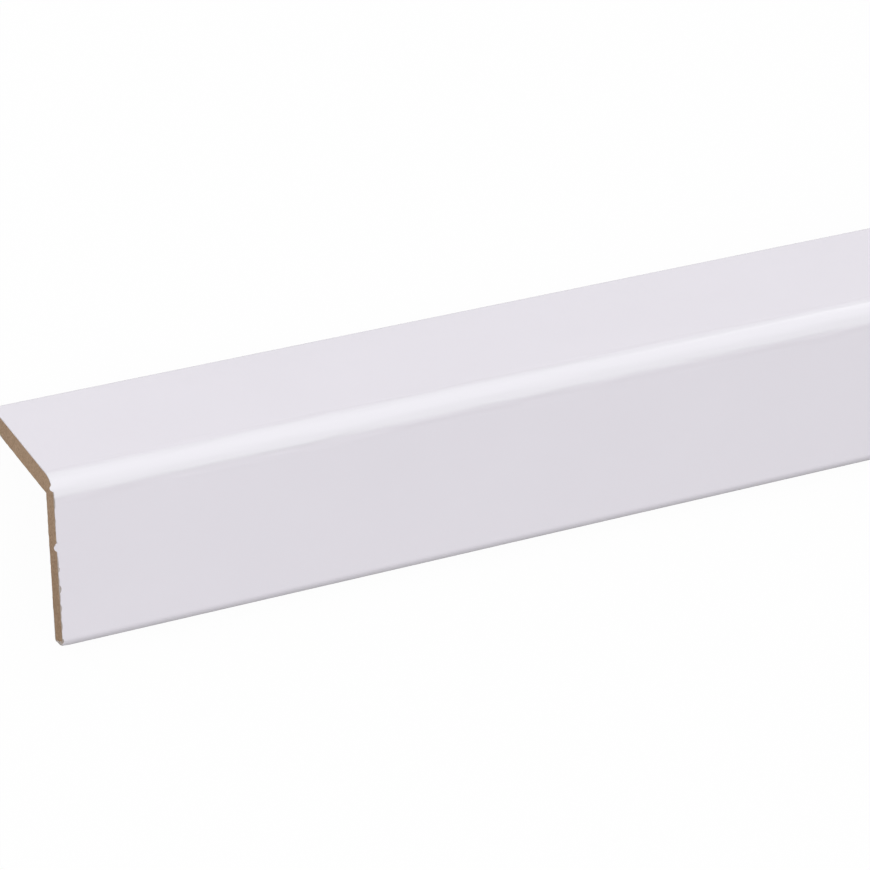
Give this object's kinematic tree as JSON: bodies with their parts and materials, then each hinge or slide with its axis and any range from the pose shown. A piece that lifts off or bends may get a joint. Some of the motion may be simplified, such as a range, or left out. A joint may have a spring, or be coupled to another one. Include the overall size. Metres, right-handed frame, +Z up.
{
  "type": "corner guard moulding",
  "caption": "Long L-shaped corner guard moulding with a rounded outer corner and rounded leg tips, glued over the outside corner of a wall to protect it.",
  "frame": {"origin": "middle of the length, midway between the two leg tips, on the floor that the tips rest on", "axes": "+X along the length, away from the end that shows in the picture; +Z up, out of the outer corner; +Y towards the back leg"},
  "size_m": [1.2, 0.0434, 0.0238],
  "materials": {
    "white_foil": "satin white foil wrapped on fibreboard",
    "fibreboard": "raw medium-density fibreboard, sawn at the ends and planed on the inner faces"
  },
  "bodies": {
    "root": {"corner_guard": "white_foil"}
  },
  "joints": []
}
